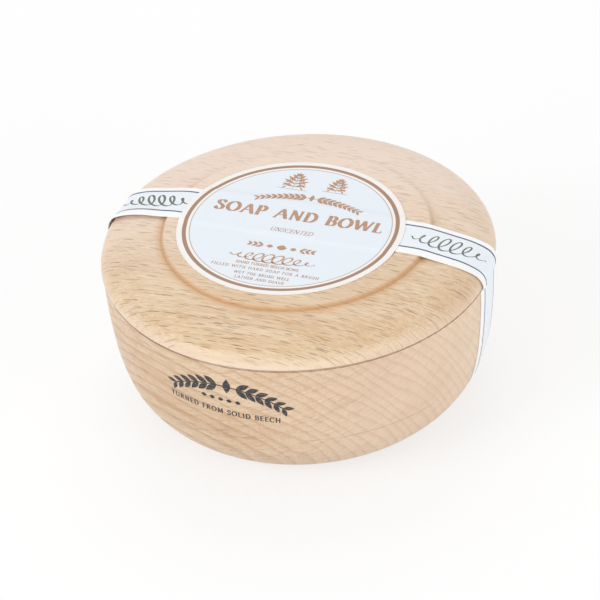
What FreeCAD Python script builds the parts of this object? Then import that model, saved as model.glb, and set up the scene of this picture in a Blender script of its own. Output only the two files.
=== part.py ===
import FreeCAD, Part
import math
import os
import Sketcher

# Turned beech shaving bowl with a lid, a soap puck, a round paper label and a paper seal.
# Millimetres, +Z up. The origin is the centre of the bowl's flat base.
# The lettering side of the label faces -Y, and the seal runs along X.

SIZES = [
    # overall
    ("lid_diameter", 115.0),
    ("body_height", 46.4),
    # lid, outside
    ("plateau_height", 9.2),
    ("shoulder_width", 18.9),
    ("step_height", 1.1),
    ("step_run", 1.3),
    ("step_cove_radius", 1.5),
    ("plateau_round", 0.5),
    ("lid_edge_low", 0.86),
    ("lid_edge_radius", 4.5),
    ("lid_knee_angle", 59.4),
    ("lid_crown_radius", 20.4),
    ("lid_crown_angle", 82.7),
    ("lid_dome_radius", 115.0),
    ("seam_arris", 0.5),
    # lid, underside
    ("spigot_depth", 4.0),
    ("spigot_clearance", 0.4),
    ("spigot_width", 7.0),
    ("dish_depth", 2.5),
    ("dish_run", 3.0),
    ("dish_cove_radius", 3.5),
    # bowl, outside
    ("rim_step", 0.45),
    ("wall_turn_inset", 1.3),
    ("wall_turn_height", 27.6),
    ("wall_turn_angle", 6.4),
    ("wall_radius", 162.0),
    ("knee_inset", 4.45),
    ("knee_height", 13.5),
    ("knee_angle", 21.0),
    ("haunch_radius", 59.0),
    ("foot_inset", 19.0),
    ("foot_radius", 23.85),
    # bowl, inside
    ("rim_wall", 8.5),
    ("cavity_taper", 1.5),
    ("cavity_cove_radius", 7.5),
    ("floor_thickness", 8.0),
    # soap
    ("soap_gap", 1.0),
    ("soap_height", 22.0),
    ("soap_round", 3.0),
    # paper
    ("paper_thickness", 0.2),
    ("glue_gap", 0.05),
    ("label_margin", 5.3),
    ("label_shift_x", -1.6),
    ("label_shift_y", -0.5),
    ("band_width", 15.5),
    ("band_offset_y", 3.4),
    ("band_touch_angle", 79.3),
    ("seal_slit", 0.3),
]

doc = FreeCAD.newDocument("shaving_bowl")
sheet = doc.addObject("Spreadsheet::Sheet", "Sizes")
for row, (alias, value) in enumerate(SIZES, start=1):
    sheet.set("A" + str(row), alias)
    sheet.set("B" + str(row), str(value))
    sheet.setAlias("B" + str(row), alias)
doc.recompute()


def s(alias):
    """The expression that reads one cell of the sheet."""
    return "Sizes." + alias


# ---------------------------------------------------------------- bodies and sketches

def new_body(label):
    body = doc.addObject("PartDesign::Body", label)
    body.Label = label
    return body


def plane_of(body, role):
    for feature in body.Origin.OriginFeatures:
        if feature.Role == role:
            return feature
    raise ValueError(role)


def new_sketch(body, name, role):
    sketch = body.newObject("Sketcher::SketchObject", name)
    sketch.AttachmentSupport = (plane_of(body, role), [""])
    sketch.MapMode = "FlatFace"
    return sketch


def number(body, expression):
    """What an expression comes to now, to draw a sketch close to its solved shape."""
    return float(body.evalExpression(expression))


def pin(sketch, kind, geometry, point, expression):
    """Place one point of a sketch at a distance from the sketch's own origin."""
    if expression == "0":
        axis = -2 if kind == "DistanceX" else -1
        sketch.addConstraint(Sketcher.Constraint("PointOnObject", geometry, point, axis))
        return
    value = number(sketch, expression)
    index = sketch.addConstraint(Sketcher.Constraint(kind, -1, 1, geometry, point, value))
    sketch.setExpression("Constraints[" + str(index) + "]", expression)


def arc_between(start, end, radius, turn):
    """An arc from start to end. turn +1 keeps its centre on the left of the way, -1 on the right."""
    along = end - start
    half = along.Length / 2
    left = FreeCAD.Vector(-along.y, along.x, 0) / along.Length
    rise = math.sqrt(max(radius * radius - half * half, 0))
    centre = (start + end) / 2 + left * rise * turn
    first, last = (start, end) if turn > 0 else (end, start)
    angles = [math.atan2(p.y - centre.y, p.x - centre.x) for p in (first, last)]
    circle = Part.Circle(centre, FreeCAD.Vector(0, 0, 1), radius)
    return Part.ArcOfCircle(circle, angles[0], angles[1])


def draw_outline(sketch, corners):
    """A closed outline. A corner is (x, y) before a straight side, or (x, y, radius, turn) before an arc."""
    points = []
    for corner in corners:
        points.append(FreeCAD.Vector(number(sketch, corner[0]), number(sketch, corner[1]), 0))
    ends = []
    for index, corner in enumerate(corners):
        start = points[index]
        end = points[(index + 1) % len(points)]
        if len(corner) == 2:
            geometry = sketch.addGeometry(Part.LineSegment(start, end))
            ends.append((geometry, 1, 2))
        else:
            radius, turn = corner[2], corner[3]
            arc = arc_between(start, end, number(sketch, radius), turn)
            geometry = sketch.addGeometry(arc)
            ends.append((geometry, 1, 2) if turn > 0 else (geometry, 2, 1))
    for index, corner in enumerate(corners):
        geometry, first, last = ends[index]
        following = ends[(index + 1) % len(ends)]
        sketch.addConstraint(Sketcher.Constraint("Coincident", geometry, last, following[0], following[1]))
        pin(sketch, "DistanceX", geometry, first, corner[0])
        pin(sketch, "DistanceY", geometry, first, corner[1])
        if len(corner) == 4:
            value = number(sketch, corner[2])
            index = sketch.addConstraint(Sketcher.Constraint("Radius", geometry, value))
            sketch.setExpression("Constraints[" + str(index) + "]", corner[2])


def turn_round(body, sketch):
    """A full turn about the bowl's axis."""
    turned = body.newObject("PartDesign::Revolution", sketch.Name + "_turned")
    turned.Profile = sketch
    turned.ReferenceAxis = (sketch, ["V_Axis"])
    turned.Angle = 360
    return turned


def cut_away(body, name, boxes):
    """Cut rectangles, each (low x, high x, low y, high y), right through a body along Z."""
    sketch = new_sketch(body, name, "XY_Plane")
    for low_x, high_x, low_y, high_y in boxes:
        corners = [(low_x, low_y), (high_x, low_y), (high_x, high_y), (low_x, high_y)]
        draw_outline(sketch, corners)
    doc.recompute()
    pocket = body.newObject("PartDesign::Pocket", name + "_cut")
    pocket.Profile = sketch
    pocket.Type = "ThroughAll"
    pocket.Midplane = True
    return pocket


# ---------------------------------------------------------------- shared lines of the design

lid_r = "(" + s("lid_diameter") + " / 2)"
seam_z = s("body_height")
rim_r = "(" + lid_r + " - " + s("rim_step") + ")"
mouth_r = "(" + rim_r + " - " + s("rim_wall") + ")"
cavity_r = "(" + mouth_r + " - " + s("cavity_taper") + ")"
floor_z = s("floor_thickness")
plateau_r = "(" + lid_r + " - " + s("shoulder_width") + ")"
plateau_z = "(" + seam_z + " + " + s("plateau_height") + ")"


def edge_point(angle, lift):
    """A point on the small arc of the lid's edge, lift outside the wood."""
    reach = "(" + s("lid_edge_radius") + " + " + lift + ")"
    x = lid_r + " - " + s("lid_edge_radius") + " + " + reach + " * cos(" + angle + ")"
    z = seam_z + " + " + s("lid_edge_low") + " + " + reach + " * sin(" + angle + ")"
    return x, z


def crown_point(angle, lift):
    """A point on the lid's large crown arc, which meets the edge arc at the knee angle."""
    knee = s("lid_knee_angle")
    between = "(" + s("lid_edge_radius") + " - " + s("lid_crown_radius") + ")"
    reach = "(" + s("lid_crown_radius") + " + " + lift + ")"
    x = lid_r + " - " + s("lid_edge_radius") + " + " + between + " * cos(" + knee + ")"
    z = seam_z + " + " + s("lid_edge_low") + " + " + between + " * sin(" + knee + ")"
    return x + " + " + reach + " * cos(" + angle + ")", z + " + " + reach + " * sin(" + angle + ")"


def wall_point(inset, height, angle, lift):
    """A point of the bowl's outside, lift outside the wood. The wall faces down by angle there."""
    x = rim_r + " - " + inset + " + " + lift + " * cos(" + angle + ")"
    z = height + " - " + lift + " * sin(" + angle + ")"
    return x, z


# ---------------------------------------------------------------- bowl

bowl = new_body("bowl")
outline = new_sketch(bowl, "bowl_outline", "XZ_Plane")
wall_turn = wall_point(s("wall_turn_inset"), s("wall_turn_height"), s("wall_turn_angle"), "0")
wall_knee = wall_point(s("knee_inset"), s("knee_height"), s("knee_angle"), "0")
cove = s("cavity_cove_radius")
draw_outline(outline, [
    ("0", "0"),
    (rim_r + " - " + s("foot_inset"), "0", s("foot_radius"), 1),
    (wall_knee[0], wall_knee[1], s("haunch_radius"), 1),
    (wall_turn[0], wall_turn[1], s("wall_radius"), 1),
    (rim_r, seam_z + " - " + s("seam_arris")),
    (rim_r + " - " + s("seam_arris"), seam_z),
    (mouth_r, seam_z),
    (cavity_r, floor_z + " + " + cove, cove, -1),
    (cavity_r + " - " + cove, floor_z),
    ("0", floor_z),
])
doc.recompute()
turn_round(bowl, outline)

# ---------------------------------------------------------------- lid

lid = new_body("lid")
outline = new_sketch(lid, "lid_outline", "XZ_Plane")
spigot_r = "(" + mouth_r + " - " + s("spigot_clearance") + ")"
spigot_z = "(" + seam_z + " - " + s("spigot_depth") + ")"
dish_r = "(" + spigot_r + " - " + s("spigot_width") + ")"
dish_z = "(" + spigot_z + " + " + s("dish_depth") + ")"
arris = s("seam_arris")
knee_x, knee_z = edge_point(s("lid_knee_angle"), "0")
crown_x, crown_z = crown_point(s("lid_crown_angle"), "0")
draw_outline(outline, [
    ("0", dish_z),
    (dish_r + " - " + s("dish_run"), dish_z, s("dish_cove_radius"), -1),
    (dish_r, spigot_z),
    (spigot_r + " - " + arris, spigot_z),
    (spigot_r, spigot_z + " + " + arris),
    (spigot_r, seam_z),
    (lid_r + " - " + arris, seam_z),
    (lid_r, seam_z + " + " + arris),
    (lid_r, seam_z + " + " + s("lid_edge_low"), s("lid_edge_radius"), 1),
    (knee_x, knee_z, s("lid_crown_radius"), 1),
    (crown_x, crown_z, s("lid_dome_radius"), 1),
    (plateau_r + " + " + s("step_run"), plateau_z + " - " + s("step_height"), s("step_cove_radius"), -1),
    (plateau_r, plateau_z + " - " + s("plateau_round"), s("plateau_round"), 1),
    (plateau_r + " - " + s("plateau_round"), plateau_z),
    ("0", plateau_z),
])
doc.recompute()
turn_round(lid, outline)

# ---------------------------------------------------------------- soap puck, pressed, with rounded edges

soap = new_body("soap_puck")
outline = new_sketch(soap, "soap_circle", "XY_Plane")
soap_r = cavity_r + " - " + cove + " - " + s("soap_gap")
outline.addGeometry(Part.Circle(FreeCAD.Vector(), FreeCAD.Vector(0, 0, 1), number(outline, soap_r)))
outline.addConstraint(Sketcher.Constraint("Coincident", 0, 3, -1, 1))
radius_index = outline.addConstraint(Sketcher.Constraint("Radius", 0, number(outline, soap_r)))
outline.setExpression("Constraints[" + str(radius_index) + "]", soap_r)
doc.recompute()
puck = soap.newObject("PartDesign::Pad", "soap_pad")
puck.Profile = outline
puck.setExpression("Length", s("soap_height"))
doc.recompute()
rims = []
for index, edge in enumerate(puck.Shape.Edges, start=1):
    if isinstance(edge.Curve, Part.Circle):
        rims.append("Edge" + str(index))
rounded = soap.newObject("PartDesign::Fillet", "soap_rounding")
rounded.Base = (puck, rims)
rounded.setExpression("Radius", s("soap_round"))
soap.setExpression("Placement.Base.z", floor_z)

# ---------------------------------------------------------------- round paper label on the plateau

label = new_body("lid_label")
outline = new_sketch(label, "label_circle", "XY_Plane")
label_r = plateau_r + " - " + s("label_margin")
outline.addGeometry(Part.Circle(FreeCAD.Vector(), FreeCAD.Vector(0, 0, 1), number(outline, label_r)))
outline.addConstraint(Sketcher.Constraint("Coincident", 0, 3, -1, 1))
radius_index = outline.addConstraint(Sketcher.Constraint("Radius", 0, number(outline, label_r)))
outline.setExpression("Constraints[" + str(radius_index) + "]", label_r)
doc.recompute()
disc = label.newObject("PartDesign::Pad", "label_pad")
disc.Profile = outline
disc.setExpression("Length", s("paper_thickness"))
label.setExpression("Placement.Base.x", s("label_shift_x"))
label.setExpression("Placement.Base.y", s("label_shift_y"))
label.setExpression("Placement.Base.z", plateau_z + " + 2 * " + s("glue_gap") + " + " + s("paper_thickness"))

# ---------------------------------------------------------------- paper seal over the lid

# The strip lies on the plateau, bridges its step and follows the crown and edge of the lid.
glue = s("glue_gap")
paper = s("paper_thickness")
outer = "(" + glue + " + " + paper + ")"
slit_z = seam_z + " + " + s("seal_slit") + " / 2"
band = new_body("seal_band_lid")
outline = new_sketch(band, "band_outline", "XZ_Plane")
touch = s("band_touch_angle")
knee = s("lid_knee_angle")
plateau_end = plateau_r + " - " + s("plateau_round")
edge_z = seam_z + " + " + s("lid_edge_low")
low_touch, high_touch = crown_point(touch, glue), crown_point(touch, outer)
low_knee, high_knee = edge_point(knee, glue), edge_point(knee, outer)
draw_outline(outline, [
    ("0", plateau_z + " + " + glue),
    (plateau_end, plateau_z + " + " + glue),
    (low_touch[0], low_touch[1], s("lid_crown_radius") + " + " + glue, -1),
    (low_knee[0], low_knee[1], s("lid_edge_radius") + " + " + glue, -1),
    (lid_r + " + " + glue, edge_z),
    (lid_r + " + " + glue, slit_z),
    (lid_r + " + " + outer, slit_z),
    (lid_r + " + " + outer, edge_z, s("lid_edge_radius") + " + " + outer, 1),
    (high_knee[0], high_knee[1], s("lid_crown_radius") + " + " + outer, 1),
    (high_touch[0], high_touch[1]),
    (plateau_end, plateau_z + " + " + outer),
    ("0", plateau_z + " + " + outer),
])
doc.recompute()
turn_round(band, outline)
band_low = "(" + s("band_offset_y") + " - " + s("band_width") + " / 2)"
band_high = "(" + s("band_offset_y") + " + " + s("band_width") + " / 2)"
clear_r = s("lid_diameter")
cut_away(band, "band_sides", [
    ("-" + clear_r, clear_r, "-" + clear_r, band_low),
    ("-" + clear_r, clear_r, band_high, clear_r),
])

# ---------------------------------------------------------------- paper seal down the bowl's wall


def seal_tail(name, low_y, high_y, turned):
    """One end of the seal, from the slit at the seam down to the bowl's knee."""
    tail = new_body(name)
    sketch = new_sketch(tail, name + "_outline", "XZ_Plane")
    turn_place = (s("wall_turn_inset"), s("wall_turn_height"), s("wall_turn_angle"))
    knee_place = (s("knee_inset"), s("knee_height"), s("knee_angle"))
    top = seam_z + " - " + s("seal_slit") + " / 2"
    low_turn, high_turn = wall_point(*turn_place, glue), wall_point(*turn_place, outer)
    low_end, high_end = wall_point(*knee_place, glue), wall_point(*knee_place, outer)
    draw_outline(sketch, [
        (low_end[0], low_end[1]),
        (high_end[0], high_end[1], s("haunch_radius") + " + " + outer, 1),
        (high_turn[0], high_turn[1], s("wall_radius") + " + " + outer, 1),
        (rim_r + " + " + outer, top),
        (rim_r + " + " + glue, top, s("wall_radius") + " + " + glue, -1),
        (low_turn[0], low_turn[1], s("haunch_radius") + " + " + glue, -1),
    ])
    doc.recompute()
    turn_round(tail, sketch)
    cut_away(tail, name + "_sides", [
        ("-" + clear_r, clear_r, "-" + clear_r, low_y),
        ("-" + clear_r, clear_r, high_y, clear_r),
        ("-" + clear_r, "0", low_y, high_y),
    ])
    tail.Placement = FreeCAD.Placement(FreeCAD.Vector(), FreeCAD.Rotation(FreeCAD.Vector(0, 0, 1), turned))
    return tail


right_tail = seal_tail("seal_tail_right", band_low, band_high, 0)
left_tail = seal_tail("seal_tail_left", "-" + band_high, "-" + band_low, 180)

# ---------------------------------------------------------------- check and write

doc.recompute()
nodes = [bowl, lid, soap, label, band, right_tail, left_tail]
for item in doc.Objects:
    if "Invalid" in item.State or "Error" in item.State:
        raise RuntimeError("failed: " + item.Name)
for node in nodes:
    if node.Shape.isNull() or not node.Shape.isValid() or len(node.Shape.Solids) != 1:
        raise RuntimeError("bad shape: " + node.Label)
os.makedirs("parts", exist_ok=True)
for node in nodes:
    node.Shape.exportStep("parts/" + node.Label + ".step")
    box = node.Shape.BoundBox
    print(node.Label, "volume", round(node.Shape.Volume, 2))
    print("  x", round(box.XMin, 2), round(box.XMax, 2), "y", round(box.YMin, 2), round(box.YMax, 2))
    print("  z", round(box.ZMin, 2), round(box.ZMax, 2))
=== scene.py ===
# %% [markdown]
# # A turned beech shaving bowl
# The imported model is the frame: it says where every piece is and how the lid moves. This script
# builds the looks around it. Sizes below are in millimetres, because that is what a turner measures
# in, and MM turns them into Blender's metres.
# %% Load the frame
import math

import bpy
import numpy as np
from mathutils import Matrix, Vector


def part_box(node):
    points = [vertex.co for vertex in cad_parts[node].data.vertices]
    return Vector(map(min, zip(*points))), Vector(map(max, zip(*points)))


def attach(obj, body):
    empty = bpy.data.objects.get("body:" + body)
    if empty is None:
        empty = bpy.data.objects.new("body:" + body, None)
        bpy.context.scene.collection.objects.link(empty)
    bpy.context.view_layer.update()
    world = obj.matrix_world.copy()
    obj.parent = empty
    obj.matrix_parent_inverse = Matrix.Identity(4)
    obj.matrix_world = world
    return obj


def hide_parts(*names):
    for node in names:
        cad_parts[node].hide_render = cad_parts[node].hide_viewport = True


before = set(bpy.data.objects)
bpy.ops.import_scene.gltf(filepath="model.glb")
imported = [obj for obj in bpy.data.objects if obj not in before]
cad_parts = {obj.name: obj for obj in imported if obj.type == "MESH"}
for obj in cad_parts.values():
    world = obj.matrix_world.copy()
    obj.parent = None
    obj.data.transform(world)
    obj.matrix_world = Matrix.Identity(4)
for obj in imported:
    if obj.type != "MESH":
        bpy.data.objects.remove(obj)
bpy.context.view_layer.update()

MM = 0.001
bowl_high, lid_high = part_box("bowl")[1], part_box("lid")[1]
SEAM = bowl_high.z / MM
LID_R = lid_high.x / MM
RIM_R = bowl_high.x / MM
PLATEAU = lid_high.z / MM
print("seam", round(SEAM, 2), "lid radius", round(LID_R, 2), "rim radius", round(RIM_R, 2))

# %% [markdown]
# ## Small helpers
# Every finished piece has its object at the origin, gets its material, rides on a body of the
# frame, and hides the CAD node it stands for, if it has one. One helper does the last three, so no
# piece can miss a step.
# %% Finish a piece


def finish_piece(piece, body, replaces=None, material=None):
    if material is not None:
        piece.data.materials.clear()
        piece.data.materials.append(material)
    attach(piece, body)
    if replaces is not None:
        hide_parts(replaces)
    print(piece.name, "triangles", sum(len(p.vertices) - 2 for p in piece.data.polygons))


def alone(piece):
    bpy.ops.object.select_all(action="DESELECT")
    piece.select_set(True)
    bpy.context.view_layer.objects.active = piece


def smooth(piece, angle=40):
    alone(piece)
    bpy.ops.object.shade_smooth_by_angle(angle=math.radians(angle))


# %% [markdown]
# ## Outlines for the lathe
# A turner thinks in outlines: straight cuts, hollows and rounds, seen from the side. An outline
# here is a list of (radius, height) points. `arc` gives the points of one round, and `eased`
# softens a corner with a small fillet, because sandpaper leaves no edge quite sharp.
# %% Outline helpers


def arc(centre, radius, start, end, count):
    angles = np.radians(np.linspace(start, end, count))
    return [(centre[0] + radius * math.cos(a), centre[1] + radius * math.sin(a)) for a in angles]


def eased(before, corner, after, radius, count=7):
    """The points of a fillet of that radius at one corner."""
    a, b = Vector(before) - Vector(corner), Vector(after) - Vector(corner)
    a.normalize()
    b.normalize()
    half = a.angle(b) / 2
    reach = radius / math.tan(half)
    centre = Vector(corner) + (a + b).normalized() * radius / math.sin(half)
    first, last = Vector(corner) + a * reach - centre, Vector(corner) + b * reach - centre
    points = []
    for step in np.linspace(0, 1, count):
        spoke = first.lerp(last, step).normalized() * radius
        points.append(tuple(centre + spoke))
    return points


def lathe(name, outline, steps=240):
    """Turn an outline once round the Z axis, as a lathe turns wood."""
    bpy.ops.object.select_all(action="DESELECT")
    bpy.ops.mesh.primitive_plane_add(size=MM, location=(0, 0, 0))
    piece = bpy.context.object
    piece.name = piece.data.name = name
    places = [Vector((r * MM, 0, z * MM)) for r, z in outline]
    bpy.ops.object.mode_set(mode="EDIT")
    bpy.ops.mesh.select_all(action="SELECT")
    bpy.ops.mesh.merge(type="CENTER")
    bpy.ops.transform.translate(value=places[0])
    for here, there in zip(places, places[1:]):
        bpy.ops.mesh.extrude_region_move(TRANSFORM_OT_translate={"value": there - here})
    bpy.ops.mesh.select_all(action="SELECT")
    bpy.ops.mesh.spin(steps=steps, angle=2 * math.pi, center=(0, 0, 0), axis=(0, 0, 1))
    bpy.ops.mesh.select_all(action="SELECT")
    bpy.ops.mesh.remove_doubles(threshold=2e-6)
    bpy.ops.mesh.normals_make_consistent(inside=False)
    bpy.ops.object.mode_set(mode="OBJECT")
    return piece


# %% [markdown]
# ## The lid
# The lid is one piece of beech. From the seam it rises in a small round, then a long crown, then an
# almost flat dome up to a low step, and ends in a raised plateau for the label. Below the seam a
# spigot drops into the bowl's mouth, with a shallow dish turned out of it.
# %% Lid outline
EDGE_R, CROWN_R, KNEE, CROWN_END = 4.5, 20.4, 59.4, 82.7
edge_centre = (LID_R - EDGE_R, SEAM + 0.86)
crown_centre = (edge_centre[0] + (EDGE_R - CROWN_R) * math.cos(math.radians(KNEE)),
                edge_centre[1] + (EDGE_R - CROWN_R) * math.sin(math.radians(KNEE)))
PLATEAU_R = LID_R - 18.9
MOUTH_R = RIM_R - 8.5
SPIGOT_R, SPIGOT_Z = MOUTH_R - 0.4, SEAM - 4.0
DISH_Z = SPIGOT_Z + 2.5
RELIEF = 0.26  # the lid touches only inside its edge, which leaves a fine dark line all round
foot = (PLATEAU_R + 1.0, PLATEAU - 1.15)
crown_top = arc(crown_centre, CROWN_R, CROWN_END, CROWN_END, 1)[0]
dome = []
for share in np.linspace(0, 1, 14)[1:-1]:
    radius = crown_top[0] + (foot[0] + 1.2 - crown_top[0]) * share
    height = crown_top[1] + (foot[1] - crown_top[1]) * (share + 0.42 * share * (1 - share))
    dome.append((radius, height))
lid_outside = (
    arc(edge_centre, EDGE_R, 0, KNEE, 26)
    + arc(crown_centre, CROWN_R, KNEE, CROWN_END, 22)[1:]
    + dome
    + eased((foot[0] + 6, foot[1] - 0.35), foot, (PLATEAU_R, PLATEAU - 0.25), 0.95, 9)
    + eased(foot, (PLATEAU_R, PLATEAU), (PLATEAU_R - 8, PLATEAU), 0.34, 9)
)
lid_outline = (
    [(0, DISH_Z), (12, DISH_Z), (28, DISH_Z)]
    + eased((28, DISH_Z), (SPIGOT_R - 8.4, DISH_Z), (SPIGOT_R - 7.0, SPIGOT_Z), 2.2)
    + eased((SPIGOT_R - 8.4, DISH_Z), (SPIGOT_R - 7.0, SPIGOT_Z), (SPIGOT_R, SPIGOT_Z), 0.5)
    + eased((SPIGOT_R - 7, SPIGOT_Z), (SPIGOT_R, SPIGOT_Z), (SPIGOT_R, SEAM), 0.7)
    + [(SPIGOT_R, SEAM - 0.15), (SPIGOT_R + 0.15, SEAM)]
    + [(LID_R - 4.4, SEAM), (LID_R - 4.0, SEAM + RELIEF)]
    + eased((SPIGOT_R, SEAM + RELIEF), (LID_R - 0.3, SEAM + RELIEF), (LID_R, SEAM + 0.5), 0.4, 5)
    + lid_outside
    + [(28, PLATEAU), (16, PLATEAU), (6, PLATEAU), (0, PLATEAU)]
)
lid = lathe("turned_lid", lid_outline)
smooth(lid)

# %% [markdown]
# ## The bowl
# The wall leans in a little from the rim, turns at the haunch and rounds under to a flat foot. The
# foot is hollowed slightly, so that the bowl stands on a ring and doesn't rock.
# %% Bowl outline


def arc_through(start, end, radius, count):
    """An arc from start to end that bulges outwards, away from the axis."""
    a, b = Vector(start), Vector(end)
    along = b - a
    left = Vector((-along.y, along.x)).normalized()
    centre = (a + b) / 2 + left * math.sqrt(radius ** 2 - (along.length / 2) ** 2)
    first = math.degrees(math.atan2(a.y - centre.y, a.x - centre.x))
    last = math.degrees(math.atan2(b.y - centre.y, b.x - centre.x))
    return arc(centre, radius, first, last, count)


WALL_TURN = (RIM_R - 1.3, 27.6)
WALL_KNEE = (RIM_R - 4.45, 13.5)
FOOT_R = RIM_R - 19.0
FLOOR = 8.0
CAVITY_R = MOUTH_R - 1.5
bowl_outside = (
    arc_through((FOOT_R, 0), WALL_KNEE, 23.85, 26)
    + arc_through(WALL_KNEE, WALL_TURN, 59.0, 16)[1:]
    + arc_through(WALL_TURN, (RIM_R, SEAM - 0.5), 162.0, 14)[1:]
)
bowl_outline = (
    [(0, 0.9), (14, 0.9), (30.0, 0.9), (31.0, 0.72), (31.6, 0.35), (32.0, 0.06), (32.6, 0.0)]
    + [(FOOT_R - 0.3, 0.0)]
    + bowl_outside
    + eased((RIM_R, SEAM - 3), (RIM_R - 0.4, SEAM), (MOUTH_R, SEAM), 0.5, 5)
    + eased((RIM_R, SEAM), (MOUTH_R, SEAM), (CAVITY_R, FLOOR + 7.5), 0.35, 5)
    + arc((CAVITY_R - 7.5, FLOOR + 7.5), 7.5, 0, -90, 14)
    + [(34, FLOOR), (20, FLOOR), (8, FLOOR), (0, FLOOR)]
)
bowl = lathe("turned_bowl", bowl_outline)
smooth(bowl)
print("bowl base", min(v.co.z for v in bowl.data.vertices))

# %% [markdown]
# ## The soap
# A cake of hard soap lies in the bowl, pressed in a round mould: the mould leaves soft edges, a
# slightly crowned face and a raised ring.
# %% Soap outline
SOAP_R, SOAP_TOP = CAVITY_R - 7.5 - 1.0, FLOOR + 22.0
soap_outline = (
    [(0, FLOOR + 0.02), (20, FLOOR + 0.02)]
    + eased((20, FLOOR), (SOAP_R, FLOOR + 0.02), (SOAP_R, FLOOR + 10), 2.6)
    + eased((SOAP_R, FLOOR + 10), (SOAP_R, SOAP_TOP - 0.9), (SOAP_R - 9, SOAP_TOP - 0.1), 3.2, 9)
    + [(r, SOAP_TOP - below) for r, below in (
        (32.6, 0.62), (32.2, 0.2), (31.6, 0.05), (31.0, 0.2), (30.6, 0.7),
        (28.0, 0.72), (18, 0.5), (8, 0.36), (0, 0.33))]
)
soap = lathe("soap_cake", soap_outline, 160)
smooth(soap, 60)

# %% [markdown]
# ## Paper: label and seal
# The label is a thin disc stuck to the plateau. The seal runs under it, so the label rises a
# little where it crosses the seal's edges. Both start as flat sheets whose points are then laid on
# the wood, and Solidify gives them a paper's thickness.
# %% Where the seal runs
GLUE, PAPER = 0.05, 0.2
SEAL_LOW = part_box("seal_band_lid")[0].y / MM
SEAL_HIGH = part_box("seal_band_lid")[1].y / MM
SPRUNG = 2.6  # how far from the seal's edges the label starts to rise
label_low, label_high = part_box("lid_label")
LABEL_R = (label_high.x - label_low.x) / 2 / MM
LABEL_AT = ((label_low.x + label_high.x) / 2 / MM, (label_low.y + label_high.y) / 2 / MM)
print("seal from y", round(SEAL_LOW, 2), "to", round(SEAL_HIGH, 2))
print("label radius", round(LABEL_R, 2))


def ramp(value):
    value = np.clip(value, 0, 1)
    return value * value * (3 - 2 * value)


def label_rise(y):
    """How far the seal under the label lifts it at this y."""
    rise = ramp((y - SEAL_LOW + SPRUNG) / SPRUNG) * ramp((SEAL_HIGH + SPRUNG - y) / SPRUNG)
    return (PAPER + GLUE) * float(rise)


def on_label(x, y, lift):
    """A point of the label's face, from millimetres right of and above its centre."""
    px, py = x + LABEL_AT[0], y + LABEL_AT[1]
    return (px, py, PLATEAU + GLUE + PAPER + label_rise(py) + lift)


label = lathe("paper_label", [(r, PLATEAU + GLUE) for r in np.linspace(0, LABEL_R, 60)], 256)
for vertex in label.data.vertices:
    x, y = vertex.co.x / MM + LABEL_AT[0], vertex.co.y / MM + LABEL_AT[1]
    vertex.co = Vector((x, y, PLATEAU + GLUE + label_rise(y))) * MM


def thicken(piece, thickness):
    alone(piece)
    solid = piece.modifiers.new("thickness", "SOLIDIFY")
    solid.thickness = thickness * MM
    solid.offset = 1.0
    bpy.ops.object.modifier_apply(modifier=solid.name)


def made_of_paper(piece, outward):
    """Give a flat sheet its thickness, on the side that faces outward."""
    if sum(p.normal.dot(Vector(outward)) * p.area for p in piece.data.polygons) < 0:
        piece.data.flip_normals()
    thicken(piece, PAPER)
    smooth(piece, 50)


made_of_paper(label, (0, 0, 1))

# %% [markdown]
# The seal follows the wood from the seam, over the edge and crown, then leaves it and bridges
# straight to the plateau: paper under slight tension doesn't dip into a hollow. `lid_line` and
# `wall_line` are that path for one side, as radius, height and outward direction at each point.
# %% The seal's path
TOUCH = 79.3  # degrees round the crown where the paper lands on it
LID_STEP, WALL_STEP = 0.4, 0.6


def with_directions(points):
    """Add the outward unit direction to each point of a line that runs outwards and down."""
    p = np.array(points, float)
    along = np.gradient(p, axis=0)
    along /= np.linalg.norm(along, axis=1)[:, None]
    return np.hstack([p, np.stack([-along[:, 1], along[:, 0]], 1)])


def respaced(points, step, whole=round):
    """The same line with points evenly spaced, about one step apart."""
    p = np.array(points, float)
    length = np.concatenate([[0], np.cumsum(np.linalg.norm(np.diff(p, axis=0), axis=1))])
    count = max(2, int(whole(length[-1] / step)) + 1)
    at = np.linspace(0, length[-1], count)
    return np.stack([np.interp(at, length, p[:, k]) for k in (0, 1)], 1)


over_edge = (
    [(20.0, PLATEAU), (30.0, PLATEAU)]
    + eased((30, PLATEAU), (PLATEAU_R - 0.4, PLATEAU), (LID_R - 8.8, SEAM + 7.21), 26.0, 9)
    + arc(crown_centre, CROWN_R, TOUCH, KNEE, 16)
    + arc(edge_centre, EDGE_R, KNEE, 0, 26)[1:]
    + [(LID_R, SEAM + 0.15)]
)
lid_line = with_directions(respaced(over_edge, LID_STEP))
lid_line[:, 2:] *= np.sign(lid_line[0, 3])
wall_points = [(RIM_R, SEAM - 0.15)] + [p for p in reversed(bowl_outside) if p[1] > 13.6]
wall_line = with_directions(respaced(wall_points, WALL_STEP))
wall_line[:, 2:] *= np.sign(wall_line[0, 2])
print("seal over the lid", len(lid_line), "points; down the wall", len(wall_line))


def seal_point(line, side, s, y, lift):
    """A point on the seal: s steps along the line, y across the strip, and lift off the wood."""
    radius, height, out, up = [np.interp(s, np.arange(len(line)), line[:, k]) for k in range(4)]
    x = math.sqrt(max(radius ** 2 - y ** 2, 0))
    return (side * (x + lift * out * x / radius), y + lift * out * y / radius, height + lift * up)


EDGE_CURL, ARCH = 0.5, 0.8


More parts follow.
